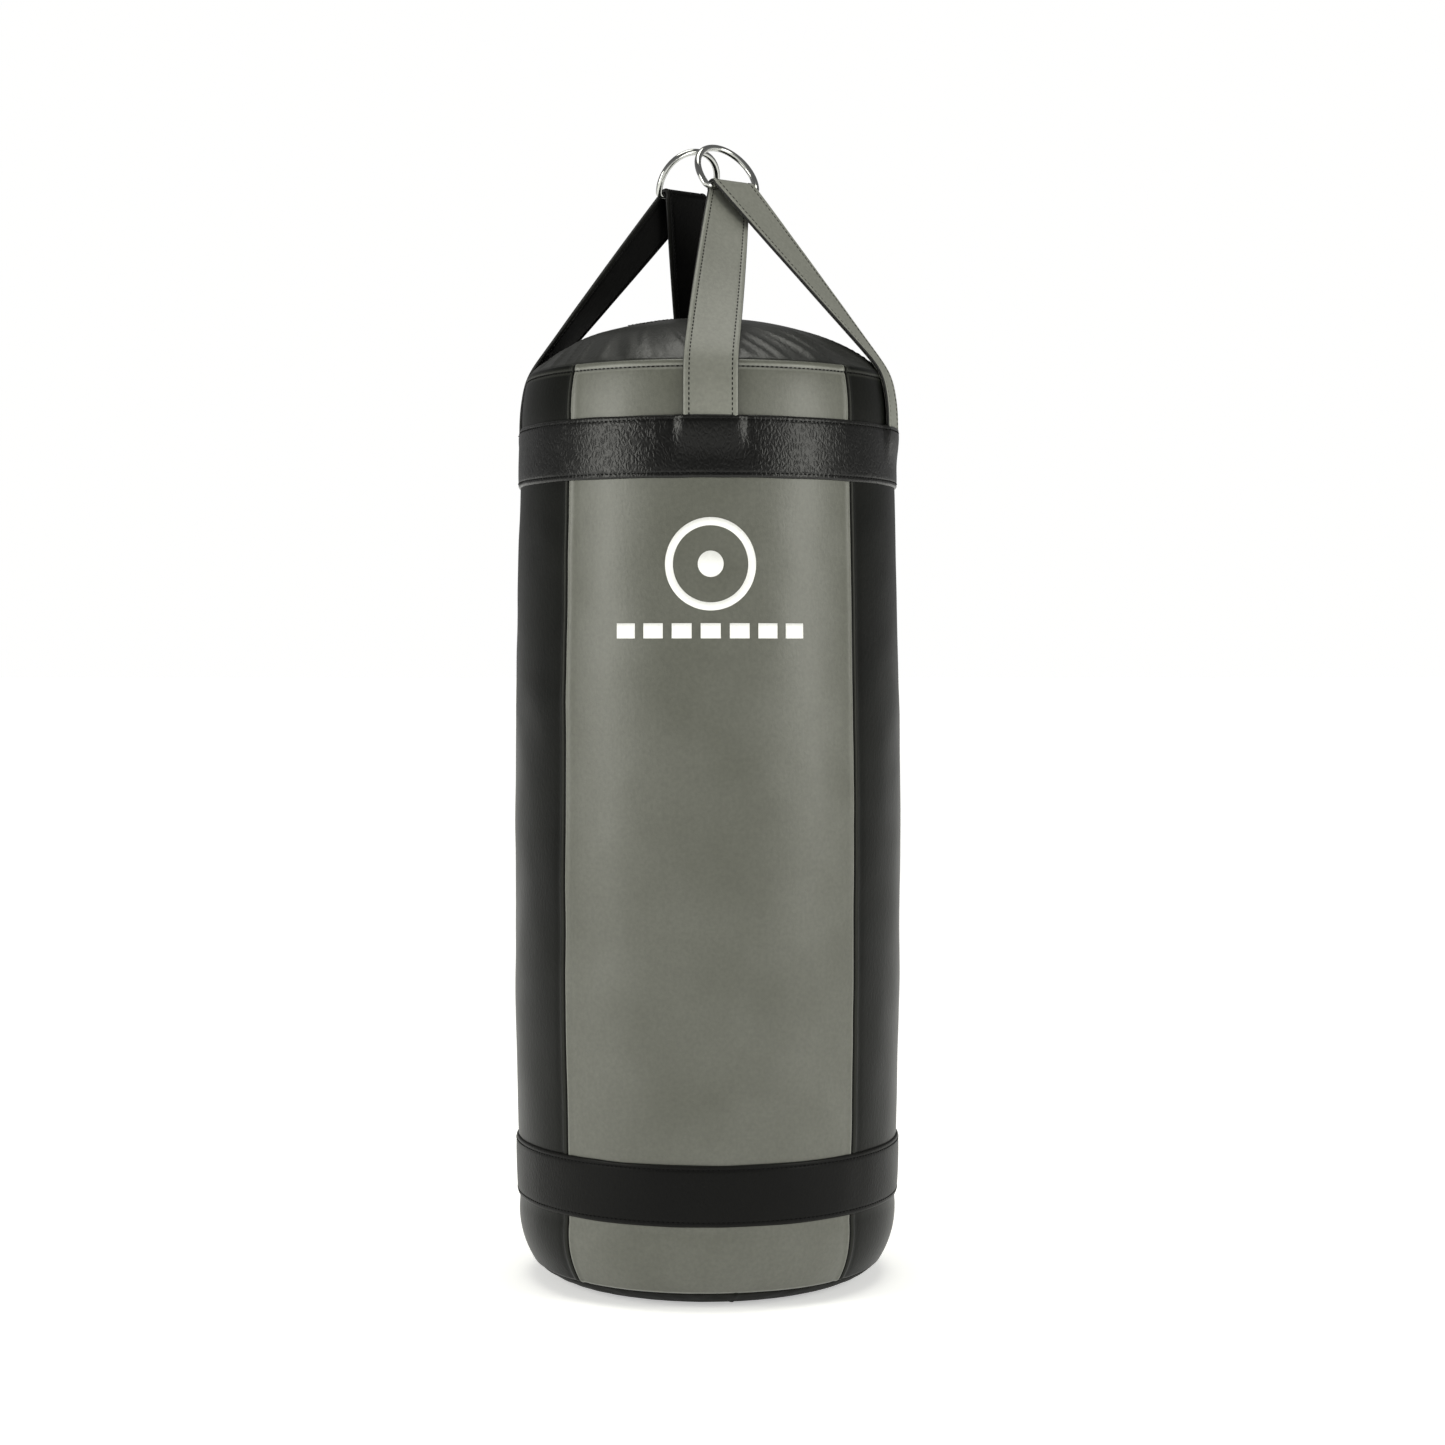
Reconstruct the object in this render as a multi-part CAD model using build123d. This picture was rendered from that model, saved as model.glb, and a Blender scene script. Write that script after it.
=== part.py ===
"""Heavy bag: a filled vinyl bag that hangs from two D-rings by two doubled straps.

Millimetres, +Z up. The origin is the centre of the flat base, and -Y is the front.
Bearings are degrees about Z, counted from the front towards +X.
"""
from build123d import *

import math
import os

# ---------------------------------------------------------------- driving sizes
BELLY_R = 204.0            # widest outside radius of the wall
TOP_SEAM_Z = 948.0         # seam between wall and lid
BASE_SEAM_Z = 16.0         # seam between wall and base panel
BASE_FLAT_R = 140.0        # flat the bag stands on

HIP_IN = 5.0               # how much the wall draws in under the lower band
NECK_IN = 8.5              # and at the top of the upper band
TOP_SEAM_IN = 15.0
BASE_SEAM_IN = 21.0
TOP_BULGE_IN = 10.2        # half way round the top shoulder
TOP_BULGE_RISE = 33.0      # that point over the top edge of the upper band
BASE_BULGE_IN = 9.8        # half way round the base shoulder
BASE_BULGE_RISE = 22.0     # that point over the base seam
HIP_DROP = 7.0             # bottom edge of the lower band to the narrowest point under it

BAND_H = 62.0
BAND_T = 1.9
UPPER_BAND_DROP = 56.0     # top seam to top edge of the upper band
LOWER_BAND_RISE = 71.0     # base seam to bottom edge of the lower band

VINYL_T = 1.5
GREY_PANEL_ARC = 92.0      # degrees covered by each grey panel; the black ones have the rest
SEAM_GAP = 0.4
TAPE_W = 25.0
TAPE_T = 1.0

LID_RISE = 60.0
LID_CAP_R = 410.0          # radius of the ball that the middle of the lid follows
LID_SHOULDER = 79.0        # from the seam in to where the cap starts
LID_SKIRT = 18.0
BASE_SKIRT = 15.0

STRAP_W = 54.0
STRAP_CORE_T = 2.0
STRAP_COVER_T = 1.0
STRAP_SPREAD = 76.0        # bearing between the two legs of one strap
STRAP_TUCK = 47.0          # length sewn under the upper band
STRAP_BEND = 18.0          # free height over the seam in which the strap bends
RING_BAR_OUT = 40.5        # ring bar to the bag's axis
RING_BAR_RISE = 194.0      # ring bar over the top seam

WIRE_R = 3.4
RING_CORNER_R = 5.0
RING_SIDE_GAP = 2.6        # strap edge to the end of the straight bar
RING_CENTRE_RISE = 15.8    # ring bar to the centre of its bow

ZIP_BEARING = 308.0        # of the zip's open end, to the left; its closed end is opposite
ZIP_HALF_ANGLE = 12.5      # of the coils, seen from the middle of the lid's ball
ZIP_STOP_ANGLE = 0.5
ZIP_TAPE_EXTRA = 1.5       # degrees that the tapes run on past the coils
ZIP_MOUTH_HALF = 7.5
ZIP_TAPE_W = 16.0
ZIP_TAPE_T = 0.9
COIL_IN = 0.8
COIL_OUT = 3.0
COIL_H = 2.2
SLIDER_HALF_W = 5.6
SLIDER_LEN = 13.0
SLIDER_PLATE = 1.2
SLIDER_CHEEK_T = 1.1
PULL_LEN = 26.0
PULL_W = 8.0
PULL_T = 1.2
PULL_PIN_R = 0.8
PULL_EYE_R = 1.4
PULL_NECK_LEN = 4.2
PULL_NECK_W = 2.6
PULL_LIFT = 0.2            # eye of the pull over the slider
CHEEK_LEN = 4.6
CHEEK_ROOT = 0.2           # depth that the bail is let into the top plate
BRIDGE_SHARE = 0.4         # of the slider's length
SLIDER_REST = 0.1          # degrees from the closed end of the coils

LINER_R = 173.0
LINER_T = 1.0
PAD_T = 30.0
PAD_R = 135.0
BOARD_T = 2.0
CORE_R = 56.0
CORE_END_FILL = 71.0       # textile under and over the column of sand bags
CORE_BAGS = 3

MARK_DROP = 85.0           # bottom edge of the upper band to the middle of the ring
MARK_R = 46.0
MARK_RING_W = 8.0
MARK_DOT_R = 13.0
MARK_BARS = 7
MARK_BAR_SIZE = (20.0, 15.0)
MARK_BAR_PITCH = 29.0
MARK_BAR_DROP = 66.0
INK_T = 0.3

# ---------------------------------------------------------------- clearances
SKIN_GAP = 0.1             # between two sewn layers
FIT_GAP = 0.3              # between a strap and the band or the ring that holds it
PACK_GAP = 0.2             # between the pieces packed inside
SLIDE_GAP = 0.25           # between the slider and the coils and tapes
PIN_GAP = 0.05             # round the pin of the zip's pull
CUT_OVER = 1.0             # how far a cut runs past what it cuts

# ---------------------------------------------------------------- worked-out sizes
HIP_R = BELLY_R - HIP_IN
NECK_R = BELLY_R - NECK_IN
TOP_SEAM_R = BELLY_R - TOP_SEAM_IN
BASE_SEAM_R = BELLY_R - BASE_SEAM_IN
UPPER_TOP = TOP_SEAM_Z - UPPER_BAND_DROP
UPPER_BOTTOM = UPPER_TOP - BAND_H
LOWER_BOTTOM = BASE_SEAM_Z + LOWER_BAND_RISE
LOWER_TOP = LOWER_BOTTOM + BAND_H
HIP_Z = LOWER_BOTTOM - HIP_DROP
BELLY_Z = (HIP_Z + UPPER_TOP) / 2

STRAP_T = STRAP_CORE_T + 2 * STRAP_COVER_T
STRAP_LIFT = SKIN_GAP + STRAP_T / 2
STRAP_HALF_ARC = math.degrees(STRAP_W / 2 / NECK_R)
LEG_BEARINGS = {"front": 0.0, "right": STRAP_SPREAD, "back": 180.0, "left": 180.0 + STRAP_SPREAD}

BAR_HALF = STRAP_W / 2 + RING_SIDE_GAP
BOW_R = RING_CORNER_R + math.hypot(BAR_HALF, RING_CENTRE_RISE - RING_CORNER_R)
FOLD_R = WIRE_R + FIT_GAP + STRAP_T / 2
BAR_Z = TOP_SEAM_Z + RING_BAR_RISE

LID_TOP_Z = TOP_SEAM_Z + LID_RISE
LID_BALL_Z = LID_TOP_Z - LID_CAP_R
LID_CAP_EDGE = TOP_SEAM_R - LID_SHOULDER
MARK_Z = UPPER_BOTTOM - MARK_DROP


def bearing(angle, radius, z=0.0):
    """The point at a bearing, a distance from the bag's axis and a height."""
    turn = math.radians(angle)
    return Vector(radius * math.sin(turn), -radius * math.cos(turn), z)


def circle_through(low, mid, high):
    """Outside radius as a function of height, on the circle through three (radius, z) points."""
    (x1, y1), (x2, y2), (x3, y3) = low, mid, high
    d = 2 * (x1 * (y2 - y3) + x2 * (y3 - y1) + x3 * (y1 - y2))
    a, b, c = x1 * x1 + y1 * y1, x2 * x2 + y2 * y2, x3 * x3 + y3 * y3
    cx = (a * (y2 - y3) + b * (y3 - y1) + c * (y1 - y2)) / d
    cy = (a * (x3 - x2) + b * (x1 - x3) + c * (x2 - x1)) / d
    size = math.hypot(x1 - cx, y1 - cy)
    return lambda z: cx + math.sqrt(size * size - (z - cy) ** 2)


base_shoulder = circle_through(
    (BASE_SEAM_R, BASE_SEAM_Z), (BELLY_R - BASE_BULGE_IN, BASE_SEAM_Z + BASE_BULGE_RISE), (HIP_R, HIP_Z)
)
barrel = circle_through((HIP_R, HIP_Z), (BELLY_R, BELLY_Z), (NECK_R, UPPER_TOP))
top_shoulder = circle_through(
    (NECK_R, UPPER_TOP), (BELLY_R - TOP_BULGE_IN, UPPER_TOP + TOP_BULGE_RISE), (TOP_SEAM_R, TOP_SEAM_Z)
)


def wall_curve(shift, low, high):
    """The wall's outline moved out by shift, between two heights, as arcs in the X-Z plane."""
    zones = [
        (base_shoulder, BASE_SEAM_Z, HIP_Z),
        (barrel, HIP_Z, UPPER_TOP),
        (top_shoulder, UPPER_TOP, TOP_SEAM_Z),
    ]
    arcs = []
    for radius_at, start, end in zones:
        a, b = max(start, low), min(end, high)
        if b - a < 0.01:
            continue
        heights = (a, (a + b) / 2, b)
        arcs.append(ThreePointArc(*[(radius_at(z) + shift, z) for z in heights]))
    return arcs


def wall_sector(inner, outer, low, high, middle, width):
    """A piece of shell that follows the wall, over width degrees about the bearing called middle."""
    outside = wall_curve(outer, low, high)
    inside = wall_curve(inner, low, high)
    ends = [Line(inside[0] @ 0, outside[0] @ 0), Line(inside[-1] @ 1, outside[-1] @ 1)]
    face = Plane.XZ * make_face(outside + inside + ends)
    turned = revolve(face, Axis.Z, width)
    return Rot(0, 0, middle - 90 - width / 2) * turned


def save(shape, node):
    export_step(shape, f"parts/{node}.step")


def disc(radius, low, high):
    return Pos(0, 0, (low + high) / 2) * Cylinder(radius, high - low)


# ---------------------------------------------------------------- wall panels and seam tapes
def wall_panels():
    gap = math.degrees(SEAM_GAP / BELLY_R)
    arcs = {"front": GREY_PANEL_ARC, "right": 180 - GREY_PANEL_ARC}
    arcs |= {"back": arcs["front"], "left": arcs["right"]}
    for turn, (side, arc) in enumerate(arcs.items()):
        panel = wall_sector(-VINYL_T, 0, BASE_SEAM_Z, TOP_SEAM_Z, 90 * turn, arc - gap)
        save(panel, f"{side}_panel")


def seam_tapes():
    half = GREY_PANEL_ARC / 2
    seams = {"front_right": half, "back_right": 180 - half, "back_left": 180 + half, "front_left": -half}
    width = math.degrees(TAPE_W / BELLY_R)
    inner = -VINYL_T - SKIN_GAP - TAPE_T
    for name, middle in seams.items():
        tape = wall_sector(inner, inner + TAPE_T, HIP_Z, UPPER_TOP, middle, width)
        save(tape, f"seam_tape_{name}")


# ---------------------------------------------------------------- sewn-on bands
def upper_band():
    """A hoop that is raised in a low arch over each of the four strap ends."""
    band = wall_sector(SKIN_GAP, SKIN_GAP + BAND_T, UPPER_BOTTOM, UPPER_TOP, 0, 360)
    arch_out = SKIN_GAP + STRAP_T + FIT_GAP + BAND_T
    arch_arc = 2 * STRAP_HALF_ARC + math.degrees(2 * (BAND_T + FIT_GAP) / NECK_R)
    pocket_arc = 2 * STRAP_HALF_ARC + math.degrees(2 * FIT_GAP / NECK_R)
    pocket_low = UPPER_TOP - STRAP_TUCK - FIT_GAP
    for middle in LEG_BEARINGS.values():
        band += wall_sector(SKIN_GAP, arch_out, UPPER_BOTTOM, UPPER_TOP, middle, arch_arc)
    for middle in LEG_BEARINGS.values():
        band -= wall_sector(0, arch_out - BAND_T, pocket_low, UPPER_TOP + CUT_OVER, middle, pocket_arc)
    save(band, "upper_band")


def lower_band():
    save(wall_sector(SKIN_GAP, SKIN_GAP + BAND_T, LOWER_BOTTOM, LOWER_TOP, 0, 360), "lower_band")


# ---------------------------------------------------------------- straps
class StrapPlane:
    """The leaning plane of one strap: along the ring bar, out of the plane, and the bar's middle."""

    def __init__(self, first):
        middle = first + STRAP_SPREAD / 2
        out = bearing(middle, 1)
        self.along = bearing(middle + 90, 1)
        seam_r = (TOP_SEAM_R + STRAP_LIFT) * math.cos(math.radians(STRAP_SPREAD / 2))
        self.lean = math.atan2(seam_r - RING_BAR_OUT, RING_BAR_RISE)
        self.normal = out * math.cos(self.lean) + Vector(0, 0, math.sin(self.lean))
        self.up = out * -math.sin(self.lean) + Vector(0, 0, math.cos(self.lean))
        self.bar = out * RING_BAR_OUT + Vector(0, 0, BAR_Z)
        self.hinge = out * seam_r + Vector(0, 0, TOP_SEAM_Z)


def section(top, foot, share, low, high):
    """A strap layer's cross-section, a share of the way from the ring bar down to the top seam.

    top and foot are (middle, half width as a vector, outward thickness direction). low and high
    are the layer's two faces, counted from the middle of the strap's thickness.
    """
    middle, half, thick = [a * (1 - share) + b * share for a, b in zip(top, foot)]
    corners = [
        middle - half + thick * low,
        middle + half + thick * low,
        middle + half + thick * high,
        middle - half + thick * high,
    ]
    return Face(Wire.make_polygon(corners))


def foot_of(angle):
    """Where a leg meets the top seam: flat against the wall."""
    middle = bearing(angle, TOP_SEAM_R + STRAP_LIFT, TOP_SEAM_Z)
    return middle, bearing(angle + 90, STRAP_W / 2), bearing(angle, 1)


def strap_layer(first, low, high):
    """One layer of a strap: up inside the bar, over it, and down outside.

    The first leg passes inside the ring bar and the second outside, so the layer's faces swap sides.
    """
    plane = StrapPlane(first)
    half = plane.along * (STRAP_W / 2)
    stop = 1 - STRAP_BEND / RING_BAR_RISE
    layer = None
    for angle, side in ((first, -1), (first + STRAP_SPREAD, 1)):
        top = (plane.bar + plane.normal * (side * FOLD_R), half, plane.normal)
        near, far = (low, high) if side > 0 else (-high, -low)
        sections = [section(top, foot_of(angle), share, near, far) for share in (0.0, stop)]
        leg = loft(sections, ruled=True)
        layer = leg if layer is None else layer + leg
    over = Plane(origin=plane.bar - half, x_dir=plane.normal, z_dir=plane.along)
    ring = Circle(FOLD_R + high) - Circle(FOLD_R + low)
    hoop = ring & (Pos(0, -2 * FOLD_R) * Rectangle(4 * FOLD_R, 4 * FOLD_R))
    return layer + extrude(over * hoop, STRAP_W)


def straps():
    half_core = STRAP_CORE_T / 2
    for colour, first in (("grey", 0.0), ("black", 180.0)):
        save(strap_layer(first, -half_core, half_core), f"{colour}_strap_webbing")
        save(strap_layer(first, half_core, half_core + STRAP_COVER_T), f"{colour}_strap_face")
        save(strap_layer(first, -half_core - STRAP_COVER_T, -half_core), f"{colour}_strap_backing")


def strap_ends():
    """Each leg's end: sewn to the wall under the upper band, free where it bends over the seam."""
    for side, angle in LEG_BEARINGS.items():
        first = angle if side in ("front", "back") else angle - STRAP_SPREAD
        plane = StrapPlane(first)
        lap = -1 if side in ("front", "back") else 1
        top = (plane.bar + plane.normal * (lap * FOLD_R), plane.along * (STRAP_W / 2), plane.normal)
        tuck_low = UPPER_TOP - STRAP_TUCK
        sewn = wall_sector(SKIN_GAP, SKIN_GAP + STRAP_T, tuck_low, TOP_SEAM_Z, angle, 2 * STRAP_HALF_ARC)
        shares = (1 - (STRAP_BEND - FIT_GAP) / RING_BAR_RISE, 1.0)
        bend = loft([section(top, foot_of(angle), s, -STRAP_T / 2, STRAP_T / 2) for s in shares], ruled=True)
        save(sewn + bend, f"{side}_strap_end")


# ---------------------------------------------------------------- D-rings
def rings():
    for colour, first in (("grey", 0.0), ("black", 180.0)):
        plane = StrapPlane(first)
        flat = Plane(origin=plane.bar, x_dir=plane.along, z_dir=plane.along.cross(plane.up))
        bow = Pos(0, RING_CENTRE_RISE) * Circle(BOW_R)
        outline = bow & (Pos(0, BOW_R) * Rectangle(4 * BOW_R, 2 * BOW_R))
        outline = fillet(outline.vertices(), RING_CORNER_R)
        path = (flat * outline).wires()[0]
        wire = Plane(origin=path @ 0, z_dir=path % 0) * Circle(WIRE_R)
        save(sweep(wire, path), f"{colour}_ring")


# ---------------------------------------------------------------- lid and base
def lid_profile(inset):
    """The lid's outline from the axis to the seam, moved in by inset, and the point it ends at."""
    ball = LID_CAP_R - inset
    slope = math.asin(LID_CAP_EDGE / LID_CAP_R)
    crown = (0, LID_BALL_Z + ball)
    half = (ball * math.sin(slope / 2), LID_BALL_Z + ball * math.cos(slope / 2))
    edge = (ball * math.sin(slope), LID_BALL_Z + ball * math.cos(slope))
    rim = (TOP_SEAM_R - VINYL_T - SKIN_GAP - inset, TOP_SEAM_Z - inset / 2)
    cap = ThreePointArc(crown, half, edge)
    shoulder = TangentArc(edge, rim, tangent=(math.cos(slope), -math.sin(slope)))
    return [cap, shoulder], crown, rim


def zip_band(half_width, inner, outer, half_angle, middle=0.0):
    """A strip that follows the lid's crown along the zip, centred at an angle along it."""
    strip = Pos((inner + outer) / 2, 0) * Rectangle(outer - inner, 2 * half_width)
    return Rot(0, middle - 90 - half_angle, 0) * revolve(Plane.XY * strip, Axis.Y, 2 * half_angle)


def along_zip(shape):
    """From the zip's own axes, with X along it, to the bag's."""
    return Pos(0, 0, LID_BALL_Z) * (Rot(0, 0, ZIP_BEARING - 90) * shape)


ZIP_FACE = math.sqrt((LID_CAP_R - VINYL_T) ** 2 - (COIL_OUT + ZIP_TAPE_W) ** 2) - SKIN_GAP
COIL_MID = ZIP_FACE - ZIP_TAPE_T / 2


def lid():
    outer, crown, rim = lid_profile(0)
    inner, low_crown, low_rim = lid_profile(VINYL_T)
    foot_z = TOP_SEAM_Z - LID_SKIRT
    skirt = [
        Line(rim, (rim[0], foot_z)),
        Line((rim[0], foot_z), (low_rim[0], foot_z)),
        Line((low_rim[0], foot_z), low_rim),
    ]
    shell = revolve(Plane.XZ * make_face(outer + inner + skirt + [Line(low_crown, crown)]), Axis.Z, 360)
    mouth_angle = ZIP_HALF_ANGLE + 1.5 * ZIP_STOP_ANGLE
    mouth = zip_band(ZIP_MOUTH_HALF, LID_CAP_R - VINYL_T - CUT_OVER, LID_CAP_R + CUT_OVER, mouth_angle)
    save(shell - along_zip(mouth), "top_lid")


def zip_fastener():
    """A coil zip under the mouth of the lid; its slider follows the crown from one end to the other."""
    for side, way in (("left", 1), ("right", -1)):
        middle = way * (COIL_OUT + ZIP_TAPE_W / 2)
        tape = zip_band(ZIP_TAPE_W / 2, ZIP_FACE - ZIP_TAPE_T, ZIP_FACE, ZIP_HALF_ANGLE + ZIP_TAPE_EXTRA)
        save(along_zip(Pos(0, middle, 0) * tape), f"zip_tape_{side}")
        middle = way * (COIL_IN + COIL_OUT) / 2
        low, high = COIL_MID - COIL_H / 2, COIL_MID + COIL_H / 2
        coil = zip_band((COIL_OUT - COIL_IN) / 2, low, high, ZIP_HALF_ANGLE)
        save(along_zip(Pos(0, middle, 0) * coil), f"zip_coil_{side}")
    end = ZIP_HALF_ANGLE + ZIP_STOP_ANGLE * 0.6
    stops = [
        zip_band(COIL_OUT, COIL_MID - COIL_H / 2, COIL_MID + COIL_H / 2, ZIP_STOP_ANGLE / 2, way * end)
        for way in (-1, 1)
    ]
    save(Compound(children=[along_zip(stop) for stop in stops]), "zip_stops")


SLIDER_HALF_ANGLE = math.degrees(SLIDER_LEN / 2 / LID_CAP_R)
SLIDER_AT = SLIDER_HALF_ANGLE - ZIP_HALF_ANGLE + SLIDER_REST
SLIDER_TOP = COIL_MID + COIL_H / 2 + SLIDE_GAP + SLIDER_PLATE
PIN_Z = SLIDER_TOP + PULL_EYE_R + PULL_LIFT


def zip_slider():
    """Two plates joined by a bridge that runs between the coils, and a bail that holds the pull."""
    low = COIL_MID - COIL_H / 2 - SLIDE_GAP - SLIDER_PLATE
    blank = zip_band(SLIDER_HALF_W, low, SLIDER_TOP, SLIDER_HALF_ANGLE, SLIDER_AT)
    wide, long = SLIDER_HALF_W + CUT_OVER, 2 * SLIDER_HALF_ANGLE
    run = zip_band(wide, low + SLIDER_PLATE, SLIDER_TOP - SLIDER_PLATE, long, SLIDER_AT)
    bridge = zip_band(COIL_IN - SLIDE_GAP, low, SLIDER_TOP, SLIDER_HALF_ANGLE * BRIDGE_SHARE, SLIDER_AT)
    turn = Rot(0, SLIDER_AT, 0)
    inside = PULL_NECK_W / 2 + FIT_GAP
    across = 2 * (inside + SLIDER_CHEEK_T)
    tall = 2 * (PIN_Z - SLIDER_TOP) + 2 * CHEEK_ROOT
    cheeks = Box(CHEEK_LEN, across, tall) - Box(CHEEK_LEN + CUT_OVER, 2 * inside, tall + CUT_OVER)
    cheeks = Pos(0, 0, SLIDER_TOP + tall / 2 - CHEEK_ROOT) * cheeks
    pin = Pos(0, 0, PIN_Z) * (Rot(90, 0, 0) * Cylinder(PULL_PIN_R, across))
    save(along_zip(blank - run + bridge + turn * (cheeks + pin)), "zip_slider")
    eye = Rot(90, 0, 0) * Cylinder(PULL_EYE_R, PULL_NECK_W)
    hole = Rot(90, 0, 0) * Cylinder(PULL_PIN_R + PIN_GAP, PULL_W)
    neck = Pos(PULL_NECK_LEN / 2, 0, 0) * Box(PULL_NECK_LEN, PULL_NECK_W, PULL_T)
    tab = Pos(PULL_NECK_LEN + PULL_LEN / 2, 0, 0) * Box(PULL_LEN, PULL_W, PULL_T)
    save(along_zip(turn * (Pos(0, 0, PIN_Z) * (tab + neck + eye - hole))), "zip_pull")


def base():
    """A flat round panel whose edge curves up to the wall, with a skirt sewn inside it."""
    rim_r = BASE_SEAM_R - VINYL_T - SKIN_GAP
    foot = BASE_SEAM_Z + BASE_SKIRT
    face = make_face(
        [
            Line((0, 0), (BASE_FLAT_R, 0)),
            TangentArc((BASE_FLAT_R, 0), (rim_r, BASE_SEAM_Z), tangent=(1, 0)),
            Line((rim_r, BASE_SEAM_Z), (rim_r, foot)),
            Line((rim_r, foot), (rim_r - VINYL_T, foot)),
            Line((rim_r - VINYL_T, foot), (rim_r - VINYL_T, BASE_SEAM_Z + VINYL_T)),
            TangentArc((BASE_FLAT_R, VINYL_T), (rim_r - VINYL_T, BASE_SEAM_Z + VINYL_T), tangent=(1, 0)),
            Line((BASE_FLAT_R, VINYL_T), (0, VINYL_T)),
            Line((0, VINYL_T), (0, 0)),
        ]
    )
    save(revolve(Plane.XZ * face, Axis.Z, 360), "base_panel")


# ---------------------------------------------------------------- what the bag holds
def filling():
    """From the base up: board, foam pad, liner with the packed textile and sand bags, foam pad."""
    board_z = VINYL_T + PACK_GAP
    pad_z = board_z + BOARD_T + PACK_GAP
    liner_z = pad_z + PAD_T + PACK_GAP
    liner_top = TOP_SEAM_Z - LID_SKIRT
    save(disc(PAD_R, board_z, board_z + BOARD_T), "base_board")
    save(disc(PAD_R, pad_z, pad_z + PAD_T), "foam_base_pad")
    save(disc(PAD_R, liner_top + PACK_GAP, liner_top + PACK_GAP + PAD_T), "foam_top_pad")
    skin = disc(LINER_R, liner_z, liner_top) - disc(LINER_R - LINER_T, liner_z + LINER_T, liner_top - LINER_T)
    save(skin, "canvas_liner")
    outside = -VINYL_T - 2 * SKIN_GAP - TAPE_T
    hole = disc(LINER_R + PACK_GAP, HIP_Z - CUT_OVER, UPPER_TOP + CUT_OVER)
    save(solid_wall(outside) - hole, "foam_wrap")
    fill_r = LINER_R - LINER_T - PACK_GAP
    low = liner_z + LINER_T + PACK_GAP
    high = liner_top - LINER_T - PACK_GAP
    core_low = low + CORE_END_FILL
    column = high - CORE_END_FILL - core_low
    bag_h = column / CORE_BAGS - PACK_GAP
    save(disc(fill_r, low, core_low - PACK_GAP), "textile_fill_lower")
    hole = disc(CORE_R, core_low - CUT_OVER, core_low + column + CUT_OVER)
    ring = disc(fill_r, core_low, core_low + column) - hole
    save(ring, "textile_fill_middle")
    save(disc(fill_r, core_low + column + PACK_GAP, high), "textile_fill_upper")
    for bag in range(CORE_BAGS):
        start = core_low + bag * (bag_h + PACK_GAP)
        save(disc(CORE_R - PACK_GAP, start, start + bag_h), f"sand_bag_{bag + 1}")


def solid_wall(shift):
    """Everything inside the wall's outline moved out by shift, between the hip and the neck."""
    outside = wall_curve(shift, HIP_Z, UPPER_TOP)
    foot, top = outside[0] @ 0, outside[-1] @ 1
    lines = [Line((0, HIP_Z), foot), Line(top, (0, UPPER_TOP)), Line((0, UPPER_TOP), (0, HIP_Z))]
    return revolve(Plane.XZ * make_face(outside + lines), Axis.Z, 360)


# ---------------------------------------------------------------- print on the front panel
def target_mark():
    """A plain target: a ring, a dot and a row of bars, printed on the front panel."""
    row = [
        Pos(MARK_BAR_PITCH * (i - (MARK_BARS - 1) / 2), -MARK_BAR_DROP) * Rectangle(*MARK_BAR_SIZE)
        for i in range(MARK_BARS)
    ]
    flats = [Circle(MARK_R) - Circle(MARK_R - MARK_RING_W), Circle(MARK_DOT_R)] + row
    low = MARK_Z - MARK_BAR_DROP - MARK_BAR_SIZE[1]
    film = wall_sector(SKIN_GAP / 2, SKIN_GAP / 2 + INK_T, low, UPPER_BOTTOM, 0, GREY_PANEL_ARC)
    front = Plane(origin=(0, 0, MARK_Z), x_dir=(1, 0, 0), z_dir=(0, -1, 0))
    inks = [film & extrude(front * flat, BELLY_R + CUT_OVER) for flat in flats]
    save(Compound(children=[piece for ink in inks for piece in ink.solids()]), "printed_mark")


os.makedirs("parts", exist_ok=True)
wall_panels()
seam_tapes()
upper_band()
lower_band()
straps()
strap_ends()
rings()
lid()
zip_fastener()
zip_slider()
base()
filling()
target_mark()
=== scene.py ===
"""Heavy bag that hangs from two D-rings by two doubled straps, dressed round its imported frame.

Metres in the frame's own axes: +Z is up and -Y is the front. A bearing counts in degrees from the
front towards +X. Flat pieces are cut in millimetres and then wrapped to their place.
"""
import math

import bmesh
import bpy
from mathutils import Matrix, Vector, noise


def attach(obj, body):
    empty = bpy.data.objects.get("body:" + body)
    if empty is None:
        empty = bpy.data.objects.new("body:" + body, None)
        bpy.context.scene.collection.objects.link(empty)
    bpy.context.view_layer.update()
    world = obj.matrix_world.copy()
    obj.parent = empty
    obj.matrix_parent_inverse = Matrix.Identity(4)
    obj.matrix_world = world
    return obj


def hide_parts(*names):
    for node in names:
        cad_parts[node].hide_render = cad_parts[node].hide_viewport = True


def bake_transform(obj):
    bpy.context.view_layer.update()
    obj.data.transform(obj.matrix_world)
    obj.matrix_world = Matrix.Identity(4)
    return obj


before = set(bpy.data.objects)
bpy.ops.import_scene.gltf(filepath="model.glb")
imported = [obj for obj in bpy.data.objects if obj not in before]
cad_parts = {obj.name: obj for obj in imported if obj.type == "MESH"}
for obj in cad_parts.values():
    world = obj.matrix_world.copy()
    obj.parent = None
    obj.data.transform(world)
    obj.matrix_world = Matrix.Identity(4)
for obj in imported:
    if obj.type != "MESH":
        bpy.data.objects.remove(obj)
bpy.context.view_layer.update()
MM = 0.001

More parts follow.
